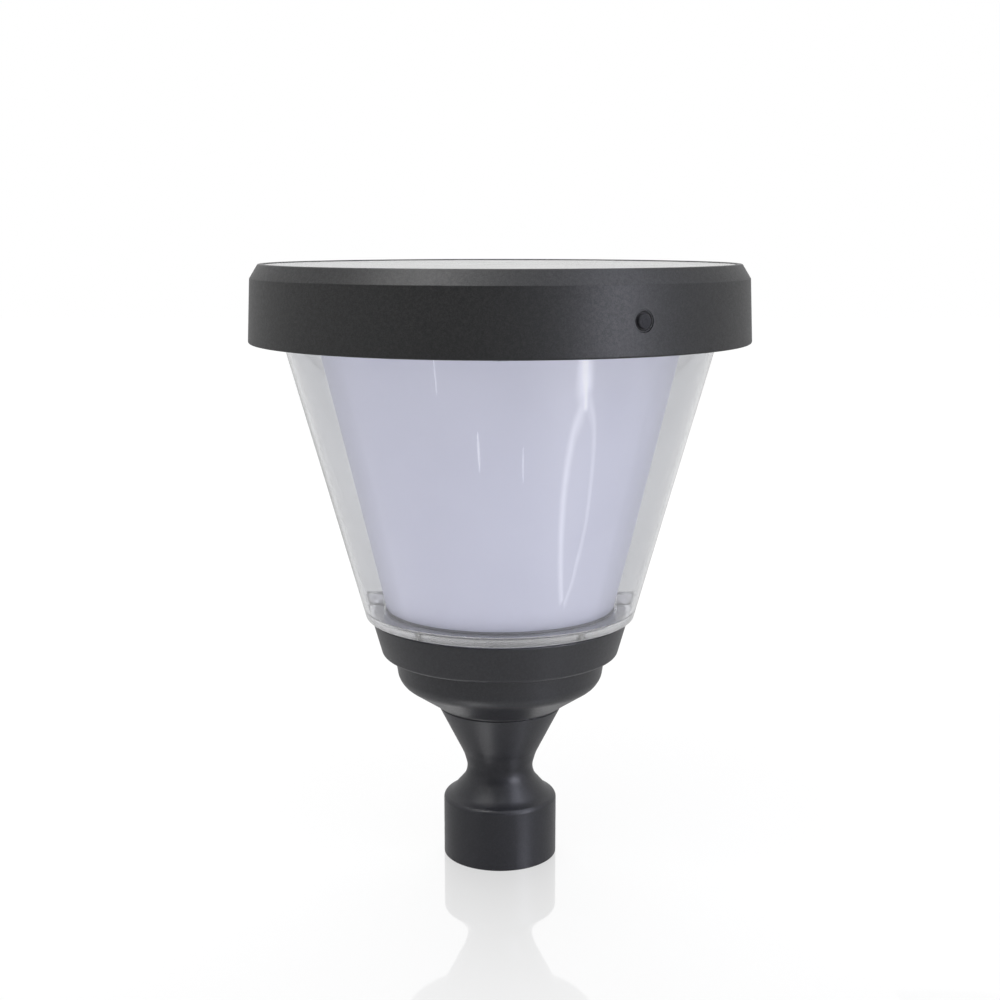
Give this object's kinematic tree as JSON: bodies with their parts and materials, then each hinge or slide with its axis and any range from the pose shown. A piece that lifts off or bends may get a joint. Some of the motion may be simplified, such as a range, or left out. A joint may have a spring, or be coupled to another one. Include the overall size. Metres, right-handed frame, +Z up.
{
  "type": "solar post cap light",
  "caption": "Solar lamp for the top of a round deck post: a disc head with a solar panel over a clear conical shade, on a stepped dish, a waisted neck and a socket collar.",
  "frame": {"origin": "centre of the collar's bottom face, on the post's axis", "axes": "+Z up along the post's axis; the side seen in the picture faces -Y, with the power button 30 degrees to the right of it"},
  "size_m": [0.3, 0.3, 0.3701],
  "materials": {
    "head_coat": "fine-texture dark grey powder coat on cast aluminium",
    "base_coat": "satin dark grey powder coat on cast aluminium",
    "collar_coat": "satin dark grey powder coat on cast aluminium",
    "panel_glass": "clear tempered glass",
    "solar_cell": "dark blue silicon cells",
    "backsheet": "matt black laminate",
    "plate_metal": "mill finish aluminium sheet",
    "battery_sleeve": "cells in a shrunk plastic sleeve",
    "circuit_board": "green solder mask",
    "white_board": "white solder mask",
    "led_phosphor": "yellow phosphor under clear resin",
    "black_plastic": "moulded black plastic",
    "white_plastic": "moulded white plastic",
    "black_rubber": "matt black rubber",
    "grey_rubber": "matt dark grey silicone",
    "pale_silicone": "translucent pale silicone",
    "button_silicone": "moulded silicone",
    "boot_silicone": "moulded silicone",
    "lead_plastic": "insulated wire",
    "clear_acrylic": "clear polished plastic",
    "opal_acrylic": "satin opal plastic, unlit",
    "zinc_steel": "zinc-plated steel",
    "screw_steel": "plain stainless steel"
  },
  "bodies": {
    "lamp": {"head_housing": "head_coat", "panel_glass": "panel_glass", "panel_seal": "black_rubber", "solar_cells": "solar_cell", "panel_backsheet": "backsheet", "junction_box": "black_plastic", "mounting_plate": "plate_metal", "plate_seal": "black_rubber", "plate_screws": "zinc_steel", "battery_cells": "battery_sleeve", "battery_tray": "black_plastic", "battery_strap": "zinc_steel", "battery_screws": "zinc_steel", "controller_board": "circuit_board", "controller_parts": "black_plastic", "board_spacers": "white_plastic", "board_screws": "zinc_steel", "switch_bracket": "zinc_steel", "bracket_screws": "zinc_steel", "switch_board": "circuit_board", "button_switch": "black_plastic", "button_boot": "boot_silicone", "lead_grommet": "black_rubber", "inner_leads": "lead_plastic", "led_board": "white_board", "led_chips": "led_phosphor", "led_screws": "zinc_steel", "shade_seal": "black_rubber", "shade_screws": "zinc_steel", "outer_shade": "clear_acrylic", "diffuser_top_seal": "black_rubber", "inner_diffuser": "opal_acrylic", "diffuser_foot_seal": "grey_rubber", "floor_screws": "zinc_steel", "dish_seal": "pale_silicone", "base_dish": "base_coat", "neck_seal": "black_rubber", "post_collar": "collar_coat", "tie_bolt": "zinc_steel", "tie_washers": "zinc_steel", "tie_nut": "zinc_steel"},
    "button": {"power_button": "button_silicone", "switch_plunger": "white_plastic"},
    "screw_left": {"set_screw_left": "screw_steel"},
    "screw_right": {"set_screw_right": "screw_steel"}
  },
  "joints": [
    {"name": "button_press", "type": "slide", "parent": "lamp", "child": "button", "axis": [-0.5, 0.866, 0], "range_m": [0, 0.001], "stiffness_N_per_m": 1500, "springref_m": -0.0004},
    {"name": "set_screw_left_advance", "type": "slide", "parent": "lamp", "child": "screw_left", "axis": [1, 0, 0], "range_m": [0, 0.0016]},
    {"name": "set_screw_right_advance", "type": "slide", "parent": "lamp", "child": "screw_right", "axis": [-1, 0, 0], "range_m": [0, 0.0016]}
  ]
}
